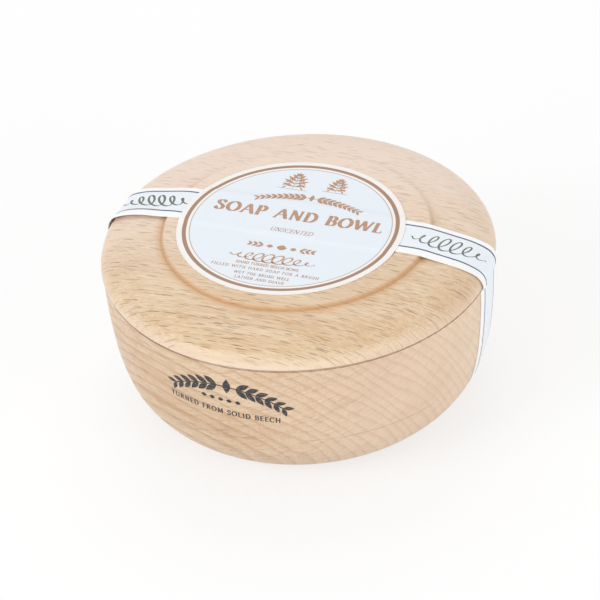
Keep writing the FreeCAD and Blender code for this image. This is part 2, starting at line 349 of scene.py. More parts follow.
def seal_curl(height, y, side):
    """The strip's long edges spring off the rounded edge of the lid, which curves two ways. On the
    left the near edge stands in a low arch between the plateau and the lid's edge."""
    across = 2 * (y - SEAL_LOW) / (SEAL_HIGH - SEAL_LOW) - 1
    curl = EDGE_CURL * ramp((abs(across) - 0.45) / 0.55) * ramp((PLATEAU - 1.5 - height) / 3.5)
    if side < 0:
        span = ramp((PLATEAU - 0.2 - height) / 1.6) * ramp((height - SEAM - 1.5) / 5)
        curl += ARCH * ramp((0.3 - across) / 1.2) * span
    return curl * ramp((height - SEAM + 1) / 3)


def sheet(name, columns, rows, place):
    """A flat grid laid out by place(u, v), with u and v from 0 to 1."""
    bpy.ops.object.select_all(action="DESELECT")
    bpy.ops.mesh.primitive_grid_add(x_subdivisions=columns, y_subdivisions=rows, size=1)
    piece = bpy.context.object
    piece.name = piece.data.name = name
    for vertex in piece.data.vertices:
        vertex.co = Vector(place(vertex.co.x + 0.5, vertex.co.y + 0.5)) * MM
    return piece


# %% The strip over the lid
STEPS = len(lid_line) - 1
FLAT = 0.2  # the share of each half that lies flat under the label


def over_lid(u, v):
    y = SEAL_LOW + (SEAL_HIGH - SEAL_LOW) * v
    reach = abs(2 * u - 1)
    side = 1 if u >= 0.5 else -1
    if reach < FLAT:
        edge = math.sqrt(over_edge[0][0] ** 2 - y ** 2)
        return (side * edge * reach / FLAT, y, PLATEAU + GLUE)
    return on_lid_line((reach - FLAT) / (1 - FLAT) * STEPS, y, side, GLUE)


def on_lid_line(s, y, side, lift):
    height = float(np.interp(s, np.arange(len(lid_line)), lid_line[:, 1]))
    return seal_point(lid_line, side, s, y, lift + seal_curl(height, y, side))


band = sheet("seal_strip_over_lid", 260, 24, over_lid)
made_of_paper(band, (0, 0, 1))

# %% The two ends on the wall
tails = {}
for side, word in ((1, "right"), (-1, "left")):
    def down_wall(u, v, side=side):
        y = SEAL_LOW + (SEAL_HIGH - SEAL_LOW) * v
        s = u * (len(wall_line) - 1)
        return seal_point(wall_line, side, s, y, GLUE)

    tails[word] = sheet("seal_end_" + word, 56, 24, down_wall)
    made_of_paper(tails[word], (side, 0, 0))

# %% [markdown]
# ## Lettering with a broad-nib pen
# A broad nib makes Roman capitals: strokes across the nib are thick, strokes along it are thin. A
# letter is a few pen paths on a square one cap-height tall. `L` is a straight stroke, `C` a smooth
# one through points, and `S` a short serif. Every word here is a plain trade word.
# %% The alphabet


def L(x0, y0, x1, y1, weight=1.0):
    return ([(x0, y0), (x1, y1)], weight, False)


def C(weight, *points):
    return (list(points), weight, True)


def S(x, y, half=0.11):
    return ([(x - half, y), (x + half, y)], 0.0, False)


def ring(cx, cy, rx, ry, start, end, weight=1.0):
    angles = np.radians(np.linspace(start, end, 15))
    return ([(cx + rx * math.cos(a), cy + ry * math.sin(a)) for a in angles], weight, True)


THIN = 0.45
ALPHABET = {
    "A": (0.86, [L(0.06, 0, 0.43, 1, THIN), L(0.43, 1, 0.8, 0), L(0.2, 0.36, 0.68, 0.36, 0),
                 S(0.06, 0), S(0.8, 0)]),
    "B": (0.7, [L(0.16, 0, 0.16, 1), ring(0.34, 0.76, 0.22, 0.24, 90, -90), L(0.16, 1, 0.34, 1, 0),
                L(0.16, 0.52, 0.36, 0.52, 0), ring(0.36, 0.26, 0.26, 0.26, 90, -90),
                L(0.16, 0, 0.36, 0, 0), S(0.1, 0, 0.09), S(0.1, 1, 0.09)]),
    "C": (0.8, [ring(0.45, 0.5, 0.38, 0.5, 48, 318), L(0.72, 0.7, 0.72, 0.97, 0)]),
    "D": (0.84, [L(0.16, 0, 0.16, 1), ring(0.34, 0.5, 0.42, 0.5, 90, -90), L(0.16, 1, 0.34, 1, 0),
                 L(0.16, 0, 0.34, 0, 0), S(0.1, 0, 0.09), S(0.1, 1, 0.09)]),
    "E": (0.64, [L(0.16, 0, 0.16, 1), L(0.1, 1, 0.56, 1, 0), L(0.16, 0.52, 0.46, 0.52, 0),
                 L(0.1, 0, 0.58, 0, 0), L(0.56, 1, 0.56, 0.84, 0), L(0.58, 0, 0.59, 0.18, 0),
                 L(0.46, 0.44, 0.46, 0.6, 0), S(0.1, 0, 0.09), S(0.1, 1, 0.09)]),
    "F": (0.6, [L(0.16, 0, 0.16, 1), L(0.1, 1, 0.56, 1, 0), L(0.16, 0.52, 0.44, 0.52, 0),
                L(0.56, 1, 0.56, 0.84, 0), L(0.44, 0.44, 0.44, 0.6, 0), S(0.16, 0)]),
    "H": (0.86, [L(0.16, 0, 0.16, 1), L(0.7, 0, 0.7, 1), L(0.16, 0.52, 0.7, 0.52, 0), S(0.16, 0),
                 S(0.16, 1), S(0.7, 0), S(0.7, 1)]),
    "I": (0.34, [L(0.17, 0, 0.17, 1), S(0.17, 0), S(0.17, 1)]),
    "L": (0.64, [L(0.16, 0, 0.16, 1), L(0.1, 0, 0.58, 0, 0), L(0.58, 0, 0.6, 0.2, 0), S(0.16, 1),
                 S(0.1, 0, 0.09)]),
    "M": (1.02, [L(0.14, 0, 0.18, 1, THIN), L(0.18, 1, 0.5, 0.06), L(0.5, 0.06, 0.82, 1, THIN),
                 L(0.82, 1, 0.86, 0), S(0.14, 0), S(0.86, 0), S(0.14, 1, 0.08), S(0.86, 1, 0.08)]),
    "N": (0.88, [L(0.16, 0, 0.16, 1, THIN), L(0.16, 1, 0.72, 0), L(0.72, 0, 0.72, 1, THIN),
                 S(0.16, 0), S(0.12, 1, 0.09), S(0.72, 1)]),
    "O": (0.92, [ring(0.46, 0.5, 0.38, 0.5, 0, 360)]),
    "P": (0.66, [L(0.16, 0, 0.16, 1), ring(0.34, 0.73, 0.25, 0.27, 90, -90), L(0.16, 1, 0.34, 1, 0),
                 L(0.16, 0.46, 0.34, 0.46, 0), S(0.16, 0), S(0.1, 1, 0.09)]),
    "R": (0.78, [L(0.16, 0, 0.16, 1), ring(0.34, 0.75, 0.23, 0.25, 90, -90), L(0.16, 1, 0.34, 1, 0),
                 L(0.16, 0.5, 0.34, 0.5, 0), L(0.38, 0.5, 0.7, 0), S(0.16, 0), S(0.1, 1, 0.09),
                 S(0.72, 0, 0.08)]),
    "S": (0.62, [C(1.0, (0.52, 0.8), (0.47, 0.95), (0.32, 1.0), (0.15, 0.92), (0.11, 0.74),
                   (0.24, 0.58), (0.42, 0.46), (0.53, 0.27), (0.47, 0.07), (0.29, 0.0),
                   (0.13, 0.06), (0.07, 0.22)),
                 L(0.53, 0.7, 0.52, 0.96, 0), L(0.07, 0.05, 0.07, 0.3, 0)]),
    "T": (0.74, [L(0.37, 0, 0.37, 1), L(0.06, 1, 0.68, 1, 0), L(0.06, 1, 0.05, 0.82, 0),
                 L(0.68, 1, 0.69, 0.82, 0), S(0.37, 0)]),
    "U": (0.84, [C(1.0, (0.16, 1), (0.16, 0.7), (0.16, 0.36), (0.22, 0.1), (0.42, 0.0),
                   (0.62, 0.08), (0.7, 0.32)), L(0.7, 0.3, 0.7, 1, THIN), S(0.16, 1), S(0.7, 1)]),
    "V": (0.84, [L(0.06, 1, 0.42, 0), L(0.42, 0, 0.78, 1, THIN), S(0.06, 1), S(0.78, 1)]),
    "W": (1.2, [L(0.06, 1, 0.34, 0), L(0.34, 0, 0.6, 1, THIN), L(0.6, 1, 0.88, 0),
                L(0.88, 0, 1.14, 1, THIN), S(0.06, 1), S(0.6, 1, 0.09), S(1.14, 1)]),
    " ": (0.42, []),
}


def flowing(points):
    """More points on a smooth curve through a few."""
    p = np.array(points, float)
    closed = np.allclose(p[0], p[-1])
    before = p[-2] if closed else 2 * p[0] - p[1]
    after = p[1] if closed else 2 * p[-1] - p[-2]
    q = np.vstack([before, p, after])
    out = []
    for i in range(1, len(q) - 2):
        for t in np.linspace(0, 1, 6, endpoint=False):
            a = 2 * q[i]
            b = (q[i + 1] - q[i - 1]) * t
            c = (2 * q[i - 1] - 5 * q[i] + 4 * q[i + 1] - q[i + 2]) * t * t
            d = (3 * q[i] - q[i - 1] - 3 * q[i + 1] + q[i + 2]) * t ** 3
            out.append((a + b + c + d) / 2)
    out.append(q[-2])
    return np.array(out)


def pen_stroke(points, thick, thin, nib=12.0, taper=False):
    """The two edges of an inked stroke: lists of left and right points."""
    p = np.array(points, float)
    along = np.gradient(p, axis=0)
    along /= np.maximum(np.linalg.norm(along, axis=1), 1e-9)[:, None]
    heading = np.arctan2(along[:, 1], along[:, 0])
    width = thin + max(thick - thin, 0) * np.abs(np.sin(heading - math.radians(nib)))
    if taper:
        width = width * (0.25 + 0.75 * np.sin(np.linspace(0.06, 0.94, len(p)) * math.pi) ** 0.6)
    across = np.stack([-along[:, 1], along[:, 0]], 1) * width[:, None] / 2
    return p + across, p - across


def written(text, height, centre, thick, thin, width, slant=0.0, stretch=1.0, turn=0.0):
    """Pen strokes of a line of text, centred on a point and spaced out to a width."""
    widths = [ALPHABET[letter][0] * stretch for letter in text]
    spacing = (width / height - sum(widths)) / (len(text) - 1)
    x0 = -width / height / 2
    strokes = []
    cosine, sine = math.cos(math.radians(turn)), math.sin(math.radians(turn))
    for letter, wide in zip(text, widths):
        for points, weight, curved in ALPHABET[letter][1]:
            p = np.array([(x * stretch, y) for x, y in points])
            p = flowing(p) if curved else respaced(p, 0.12, math.ceil)
            placed = []
            for edge in pen_stroke(p, thin + (thick - thin) * weight, thin):
                x, y = (edge[:, 0] + x0 + slant * edge[:, 1]) * height, edge[:, 1] * height
                placed.append(np.stack([centre[0] + x * cosine - y * sine,
                                        centre[1] + x * sine + y * cosine], 1))
            strokes.append(placed)
        x0 += wide + spacing
    return strokes


INK_LIFT, INK_STEP, INK_DEPTH = 0.012, 0.0013, 0.01


def inked(name, strokes, place):
    """Lay pen strokes on a surface and give the ink a hair's thickness. Each stroke lies a little
    higher than the last, so that strokes that cross don't share one face."""
    mesh = bpy.data.meshes.new(name)
    points, faces = [], []
    for number, (left, right) in enumerate(strokes):
        base = len(points)
        height = INK_LIFT + INK_STEP * (number % 11)
        for a, b in zip(left, right):
            points.append(Vector(place(a[0], a[1], height)) * MM)
            points.append(Vector(place(b[0], b[1], height)) * MM)
        for k in range(len(left) - 1):
            i = base + 2 * k
            faces.append((i, i + 1, i + 3, i + 2))
    mesh.from_pydata(points, [], faces)
    mesh.update()
    a, b = strokes[0][0][0]
    if mesh.polygons[0].normal.dot(Vector(place(a, b, 1.0)) - Vector(place(a, b, 0.0))) < 0:
        mesh.flip_normals()
    piece = bpy.data.objects.new(name, mesh)
    bpy.context.scene.collection.objects.link(piece)
    thicken(piece, INK_DEPTH)
    return piece


# %% [markdown]
# ## What is printed on the label
# A headline in bold capitals says what it is. Round it go plain ornaments: two small sprays and a
# laurel above, leaves, lozenges and a penman's coil below, then four lines of small print. Every
# ornament is built from one leaf shape and the same pen.
# %% Sprays, laurels and coils


def leaf(x, y, angle, length, fat):
    """One leaf from its stalk at x, y: its left and right edges."""
    a = math.radians(angle)
    along, across = np.array([math.cos(a), math.sin(a)]), np.array([-math.sin(a), math.cos(a)])
    spine = np.array([x, y]) + along * length * np.linspace(0, 1, 7)[:, None]
    swell = across * fat / 2 * np.sin(np.linspace(0.02, 0.98, 7) * math.pi)[:, None]
    return [spine + swell, spine - swell]


def spray(cx, cy, width, height):
    """A small spray: a stem, leaves on both sides of it and a line under it."""
    strokes = []
    stem = respaced([(cx, cy - height * 0.42), (cx, cy + height * 0.36)], 0.5, math.ceil)
    strokes.append(list(pen_stroke(stem, 0.16, 0.14)))
    for level in range(5):
        y = cy - height * 0.34 + level * height * 0.16
        size = width * (0.46, 0.5, 0.44, 0.33, 0.2)[level]
        for side in (-1, 1):
            angle = 90 - side * (72 - 9 * level)
            strokes.append(leaf(cx, y, angle, size, 0.9))
            strokes.append(leaf(cx + side * size * 0.3, y - 0.1, 90 - side * 25, size * 0.5, 0.62))
            strokes.append(leaf(cx + side * size * 0.55, y, 90 - side * 140, size * 0.42, 0.55))
    strokes.append(leaf(cx, cy + height * 0.3, 90, height * 0.2, 0.6))
    ends = [(cx + side * width * 0.56, cy - height * 0.5) for side in (-1, 1)]
    under = respaced(ends, 0.6, math.ceil)
    strokes.append(list(pen_stroke(under, 0.14, 0.12)))
    return strokes


def garland(cx, cy, bend, sweep, size, fat, step, stem=0.14, turn=0.0):
    """A laurel on an arch: pairs of leaves run outwards from one upright leaf in the middle."""
    strokes = []
    count = int(math.radians(sweep) * bend / step)
    for k in range(-count, count + 1):
        a = math.radians(90 + turn) - k * math.radians(sweep) / count
        x, y = cx + bend * math.cos(a), cy + bend * math.sin(a)
        heading = math.degrees(a) - 90 * (1 if k >= 0 else -1)
        if k == 0:
            strokes.append(leaf(x, y - size * 0.5, 90 + turn, size * 1.1, fat * 1.2))
            continue
        small = 1.0 - 0.3 * abs(k) / count
        for side in (-1, 1):
            strokes.append(leaf(x, y, heading + side * 36, size * small, fat * small))
    line = arc((cx, cy), bend, 90 + turn + sweep, 90 + turn - sweep, 60)
    strokes.append(list(pen_stroke(line, stem, stem)))
    return strokes


def coil(width, height, loops):
    """A penman's coil: round loops that swell to the middle and run out in a line at both ends."""
    t = np.linspace(0, 1, loops * 22)
    swell = np.sin(math.pi * t) ** 0.8
    turn = 2 * math.pi * loops * t
    y = height * swell * np.cos(turn)
    x = width * (t - 0.5) - 0.075 * width * swell * np.sin(turn) + 0.45 * y
    return np.stack([x, y], 1)


def lozenges(cx, cy, size, count=1, gap=0.0, turn=0.0):
    """A row of short fat leaves, centred on a point."""
    c, s = math.cos(math.radians(turn)), math.sin(math.radians(turn))
    starts = [gap * k - size / 2 for k in np.arange(count) - (count - 1) / 2]
    return [leaf(cx + start * c, cy + start * s, turn, size, size * 0.8) for start in starts]


# %% Label print
ROW_UP = -10.6  # the row of leaves and lozenges, measured up from the label's centre
headline = written("SOAP AND BOWL", 4.5, (0.75, 3.2), thick=0.26, thin=0.08, width=51.5)
laurel = garland(1.2, -21.1, 36.2, 24.5, 2.9, 1.15, 1.7, stem=0.2)
scent = written("UNSCENTED", 1.75, (1.1, -3.3), thick=0.13, thin=0.06, width=13.0, slant=0.2)
row = lozenges(1.0, ROW_UP, 3.0) + lozenges(-2.6, ROW_UP, 1.9) + lozenges(4.6, ROW_UP, 1.9)
small = []
for text, y, width in (
    ("HAND TURNED BEECH BOWL", -20.6, 19.2),
    ("FILLED WITH HARD SOAP FOR A BRUSH", -22.9, 32.6),
    ("WET THE BRUSH WELL", -25.5, 16.8),
    ("LATHER AND SHAVE", -27.7, 15.0),
):
    small += written(text, 1.15, (0.1, y), thick=0.17, thin=0.09, width=width, stretch=0.95)
sprays = spray(-6.2, 22.6, 8.4, 8.6) + spray(6.6, 23.3, 6.8, 7.6)
leaves = []
for side in (-1, 1):
    for k in range(3):
        for lean in (-34, 34):
            leaves.append(leaf(1.0 + side * (5.6 + 1.7 * k), ROW_UP, 90 - side * 90 + lean,
                               2.3 - 0.35 * k, 0.85))
loops = [list(pen_stroke(coil(26.0, 2.1, 9) + (0.2, -16.6), 0.6, 0.22, 38.0, taper=True))]
label_ink = headline + laurel + scent + row + small + sprays + leaves + loops
label_print = inked("label_print", label_ink, on_label)
print("label print has", len(label_ink), "strokes")

# %% [markdown]
# ## What is printed on the seal
# Two fine lines run the length of the strip, and a coil of pen loops fills each side of it.
# %% Seal print
LINE_HIGH, LINE_LOW, RULE = SEAL_HIGH - 2.0, SEAL_LOW + 2.9, 0.52


def rule(low, high, y):
    s = np.linspace(low, high, 90)
    return [np.stack([s, np.full_like(s, y + side * RULE / 2)], 1) for side in (1, -1)]


def on_strip(side):
    return lambda s, y, lift: on_lid_line(s, y, side, GLUE + PAPER + lift)


def on_tail(side):
    return lambda s, y, lift: seal_point(wall_line, side, s, y, GLUE + PAPER + lift)


first = float(np.interp(33.0, lid_line[:60, 0], np.arange(60)))  # where it leaves the label
middle = (LINE_HIGH + LINE_LOW) / 2
seal_prints = []
for side, word in ((1, "right"), (-1, "left")):
    strokes = [rule(first - 6, STEPS, LINE_HIGH), rule(first - 6, STEPS, LINE_LOW)]
    nib = 38.0 if side > 0 else 142.0
    pen = [pen_stroke(coil(23.0, 3.1, 7) + (11.5, middle), 0.7, 0.24, nib, taper=True)]
    for edge in pen[0]:
        edge[:, 0] = first + 2 + edge[:, 0] / LID_STEP
    seal_prints.append(("seal_lines_" + word, strokes, on_strip(side), "lid"))
    seal_prints.append(("seal_flourish_" + word, pen, on_strip(side), "lid"))
    last = len(wall_line) - 1
    strokes = [rule(0, last, LINE_HIGH), rule(0, last, LINE_LOW)]
    seal_prints.append(("seal_end_lines_" + word, strokes, on_tail(side), "bowl"))
seal_ink = [(inked(name, strokes, place), body) for name, strokes, place, body in seal_prints]

# %% [markdown]
# ## The stamp on the bowl
# A rubber stamp leaves dark ink in the open grain. A laurel, five lozenges and a line of plain
# words are laid round the wall: across counts millimetres along the curve, up counts height.
# %% Stamp
STAMP_AT, STAMP_UP, STAMP_BEND = -94.5, 29.0, 56.0  # degrees round, height, radius of the curve


def on_wall(across, up, lift):
    height = STAMP_UP + up * 0.985
    outline = np.array(bowl_outside)
    radius = float(np.interp(height, outline[:, 1], outline[:, 0]))
    slope = (np.interp(height + 0.5, outline[:, 1], outline[:, 0])
             - np.interp(height - 0.5, outline[:, 1], outline[:, 0]))
    angle = math.radians(STAMP_AT) + across / STAMP_BEND
    out = radius + lift
    return (out * math.cos(angle), out * math.sin(angle), height - lift * slope)


stamp = garland(0.3, -19.1, 29.2, 34.0, 4.7, 2.0, 2.5, stem=0.4, turn=-4.0)
stamp += lozenges(0.2, 4.9, 1.7, 5, 2.6, -4.0)
stamp += written("TURNED FROM SOLID BEECH", 1.75, (0.1, -0.6), thick=0.22, thin=0.11, width=34.5,
                 turn=-4.0)
stamp_print = inked("wall_stamp", stamp, on_wall)

# %% [markdown]
# ## Building materials from nodes
# A material is a small graph. `Graph` places nodes and joins them, so that each finish below reads
# as a recipe. What two finishes share, such as beech grain or paper fibre, is a node group.
# %% Graph helper


def hex_colour(text):
    """A display colour such as E8CDAC as the linear values that shaders use."""
    values = [int(text[i:i + 2], 16) / 255 for i in (0, 2, 4)]
    return tuple(v / 12.92 if v <= 0.04045 else ((v + 0.055) / 1.055) ** 2.4 for v in values)


class Graph:
    def __init__(self, tree):
        self.tree = tree

    def node(self, kind, inputs=(), **settings):
        made = self.tree.nodes.new("ShaderNode" + kind)
        for key, value in settings.items():
            setattr(made, key, value)
        self.fill(made, inputs)
        return made

    def fill(self, node, inputs):
        """Give a node's inputs, by name or number, their values."""
        for title, value in dict(inputs).items():
            self.put(node.inputs[title], value)

    def put(self, socket, value):
        """Join a socket to another node's output, or give it a colour or a plain value."""
        if isinstance(value, bpy.types.NodeSocket):
            self.tree.links.new(value, socket)
        elif isinstance(value, str):
            socket.default_value = (*hex_colour(value), 1.0)
        else:
            socket.default_value = value

    def math(self, operation, *values, clamp=False):
        return self.node("Math", enumerate(values), operation=operation, use_clamp=clamp).outputs[0]

    def times(self, first, *others, clamp=False):
        for other in others:
            first = self.math("MULTIPLY", first, other, clamp=clamp)
        return first

    def plus(self, a, b, clamp=False):
        return self.math("ADD", a, b, clamp=clamp)

    def times_plus(self, a, factor, extra):
        return self.math("MULTIPLY_ADD", a, factor, extra)

    def swing(self, noise, amount, middle):
        """Noise from 0 to 1 as a swing of that amount about a middle value."""
        return self.times_plus(self.math("SUBTRACT", noise, 0.5), amount, middle)

    def step(self, value, low, high):
        """A soft step: 0 below low, 1 above high. With low above high it falls instead."""
        first, last = (0.0, 1.0) if low < high else (1.0, 0.0)
        made = self.node(
            "MapRange", {"Value": value, "From Min": min(low, high), "From Max": max(low, high),
                         "To Min": first, "To Max": last}, interpolation_type="SMOOTHSTEP")
        return made.outputs["Result"]

    def hill(self, value, foot, top, brow, end):
        """0 up to foot, 1 from top to brow, 0 again from end."""
        return self.times(self.step(value, foot, top), self.step(value, end, brow))

    def mix(self, factor, a, b, blend="MIX"):
        a, b = [(*colour, 1.0) if isinstance(colour, tuple) else colour for colour in (a, b)]
        made = self.node("Mix", {"Factor": factor}, data_type="RGBA", blend_type=blend)
        self.fill(made, {6: a, 7: b})
        return made.outputs[2]

    def vector(self, operation, *values, output=0):
        return self.node("VectorMath", enumerate(values), operation=operation).outputs[output]

    def length(self, vector):
        return self.vector("LENGTH", vector, output="Value")

    def turned(self, vector, axis, degrees):
        inputs = {"Vector": vector, "Angle": math.radians(degrees)}
        return self.node("VectorRotate", inputs, rotation_type=axis + "_AXIS").outputs["Vector"]

    def noise(self, vector, scale, detail=2.0, rough=0.5, output="Fac"):
        inputs = {"Vector": self.vector("MULTIPLY", vector, scale), "Scale": 1.0,
                  "Detail": detail, "Roughness": rough}
        return self.node("TexNoise", inputs).outputs[output]

    def cells(self, vector):
        made = self.node("TexVoronoi", {"Vector": vector, "Scale": 1.0}, voronoi_dimensions="2D")
        return made.outputs["Distance"], made.outputs["Color"]

    def parts(self, vector):
        return self.node("SeparateXYZ", {0: vector}).outputs

    def relief(self, shader, height, strength, distance):
        """Bump the shader's normal. The distance is in metres."""
        bump = self.node("Bump", {"Strength": strength, "Distance": distance, "Height": height})
        self.put(shader.inputs["Normal"], bump.outputs["Normal"])


def new_group(name, inputs, outputs):
    """A node group: its tree, its graph, what it is given and what it gives back."""
    tree = bpy.data.node_groups.new(name, "ShaderNodeTree")
    for title, kind, value in inputs:
        socket = tree.interface.new_socket(title, in_out="INPUT", socket_type="NodeSocket" + kind)
        if value is not None:
            socket.default_value = value
    for title, kind in outputs:
        tree.interface.new_socket(title, in_out="OUTPUT", socket_type="NodeSocket" + kind)
    given = tree.nodes.new("NodeGroupInput").outputs
    result = tree.nodes.new("NodeGroupOutput").inputs
    return tree, Graph(tree), given, result


def new_material(name):
    material = bpy.data.materials.new(name)
    material.use_nodes = True
    return material, Graph(material.node_tree), material.node_tree.nodes["Principled BSDF"]


# %% [markdown]
# ## Beech
# Beech is a pale honey wood, known by its rays: thin brown lens shapes that show as short dashes
# along the grain on a flat face, and as fine lines on end grain. Growth rings give soft bands. The
# group works in the block's own axes, in millimetres: x along the grain, y across it along the
# rings, z through the rings. A solid pattern like this runs through the wood, so a turned surface
# cuts it as the tool would.
# %% Rays
beech, g, given, result = new_group(
    "beech_grain",
    [("Block", "Vector", None)] + [(title, "Color", None) for title in ("Pale", "Warm", "Ray")]
    + [(title, "Float", value) for title, value in (
        ("End Grain", 0.0), ("Flank", 0.0), ("Flank Glow", 0.0), ("Ray Strength", 1.0),
        ("Ring Strength", 1.0), ("Ring Width", 3.0), ("Blush", 0.0))],
    [("Color", "Color"), ("Height", "Float"), ("Roughness", "Float")],
)
RAY_SPREAD = 0.12  # how far the share of rays changes from one patch of wood to the next
block = given["Block"]
drift = g.noise(block, (0.015, 0.03, 0.03), output="Color")
wandering = g.vector("MULTIPLY_ADD", drift, (0.0, 1.8, 2.2), block)
patches = g.noise(block, (0.05, 0.12, 0.12))


def ray_layer(length, breadth, keep, low, high, seed):
    """Rays are ribbons that run on through the rings, so their pattern is flat: along and across.
    keep is the share of places that hold a ray, and low and high are how dark one may be."""
    row = g.math("FLOOR", g.times_plus(g.parts(wandering)[1], 1 / breadth, seed * 1.7))
    by_row = g.node("TexWhiteNoise", {"W": row}, noise_dimensions="1D").outputs["Value"]
    shifted = g.node("CombineXYZ", {0: g.times_plus(by_row, 9.0, seed), 1: seed * 1.7}).outputs[0]
    near, chance = g.cells(
        g.vector("MULTIPLY_ADD", wandering, (1 / length, 1 / breadth, 0), shifted))
    pick = g.parts(chance)
    kept = g.step(g.math("SUBTRACT", g.swing(patches, RAY_SPREAD, keep), pick[0]), 0.0, 0.06)
    darkness = g.times_plus(g.math("POWER", pick[1], 1.6), high - low, low)
    return g.times(g.step(near, 0.42, 0.26), kept, darkness)


rays = ray_layer(5.6, 0.35, 0.18, 0.5, 1.0, 0.0)
rays = g.math("MAXIMUM", rays, ray_layer(3.9, 0.30, 0.16, 0.25, 0.85, 7.3))
rays = g.math("MAXIMUM", rays, ray_layer(2.4, 0.26, 0.22, 0.06, 0.3, 3.1))

# %% Growth rings
along, across, depth = g.parts(wandering)
bowed = g.plus(depth, g.times(across, across, 0.0025))
uneven = g.noise(wandering, (0.004, 0.02, 0.16), 3.0)
year = g.math("FRACT", g.times_plus(uneven, 2.2, g.math("DIVIDE", bowed, given["Ring Width"])))
late = g.hill(year, 0.5, 0.93, 0.93, 1.0)
early = g.math("POWER", year, 1.5)
rings = g.times(g.times_plus(late, 0.75, g.times(early, 0.25)), given["Ring Strength"])

# %% Colour of the wood
PAINTED_LIGHT_PINK, PAINTED_SHEEN_GOLD, END_PINK = (0.865, 0.70, 0.60), (0.94, 0.785, 0.625), (0.815, 0.63, 0.485)
fibre = g.noise(wandering, (0.04, 2.6, 2.6), 4.0, 0.65)
streak = g.noise(wandering, (0.03, 0.7, 0.5), 3.0, 0.6)
fine = g.noise(wandering, (0.2, 7.0, 7.0), 2.0, 0.6)
cloud = g.noise(block, (0.02, 0.05, 0.05))
warmth = g.swing(fibre, 1.6, g.swing(streak, 0.9, g.swing(cloud, 0.9, 0.40)))
warmth = g.plus(warmth, g.times(rings, 0.55), clamp=True)
wood = g.mix(warmth, given["Pale"], given["Warm"])
along, across, depth = g.parts(block)
# Painted light: the lid's back-left is painted paler and pinker, as more light falls there.
lit_back_left = g.step(g.plus(across, g.times(along, -0.35)), -20.0, 55.0)
painted_light_share = g.times(lit_back_left, given["Blush"])
wood = g.mix(painted_light_share, wood, PAINTED_LIGHT_PINK)
tone = g.swing(fine, 0.2, 1.0)
wood = g.mix(1.0, wood, g.node("CombineXYZ", enumerate([tone] * 3)).outputs[0], "MULTIPLY")
# Painted sheen: faces that cut across the rings are painted paler and golden. This stands both for
# the key light's highlight on the lid's front rim and for the paler look of quartersawn wood.
wood = g.mix(g.times(given["Flank"], given["Flank Glow"]), wood, PAINTED_SHEEN_GOLD)
wood = g.mix(g.times(given["End Grain"], 0.55), wood, END_PINK)
ray_mask = g.times(rays, given["Ray Strength"], clamp=True)
# The dark rays fade on end grain, under the painted sheen on faces across the rings, and under the
# painted light at the back-left.
soften = g.times(g.times_plus(given["End Grain"], -0.70, 1.0),
                 g.times_plus(given["Flank"], -0.92, 1.0), g.times_plus(painted_light_share, -0.5, 1.0))
g.put(result["Color"], g.mix(g.times(ray_mask, soften), wood, given["Ray"]))
g.put(result["Height"], g.math("SUBTRACT", g.times(fibre, 0.5), ray_mask))
g.put(result["Roughness"], g.times_plus(ray_mask, 0.12, g.times_plus(fibre, 0.12, 0.40)))

# %% [markdown]
# The lid and the bowl are cut from different blocks. `turn` and `tilt` say how each block lay on
# the lathe, in degrees, so rays and rings run the way they do on each piece. The lid's step gets a
# little painted shade, the joint gets a fine dark line of painted shade with some grime in it, and
# the bowl keeps a faint line from the lathe. The other amounts go to the beech group by their own
# names.
# %% Beech finish


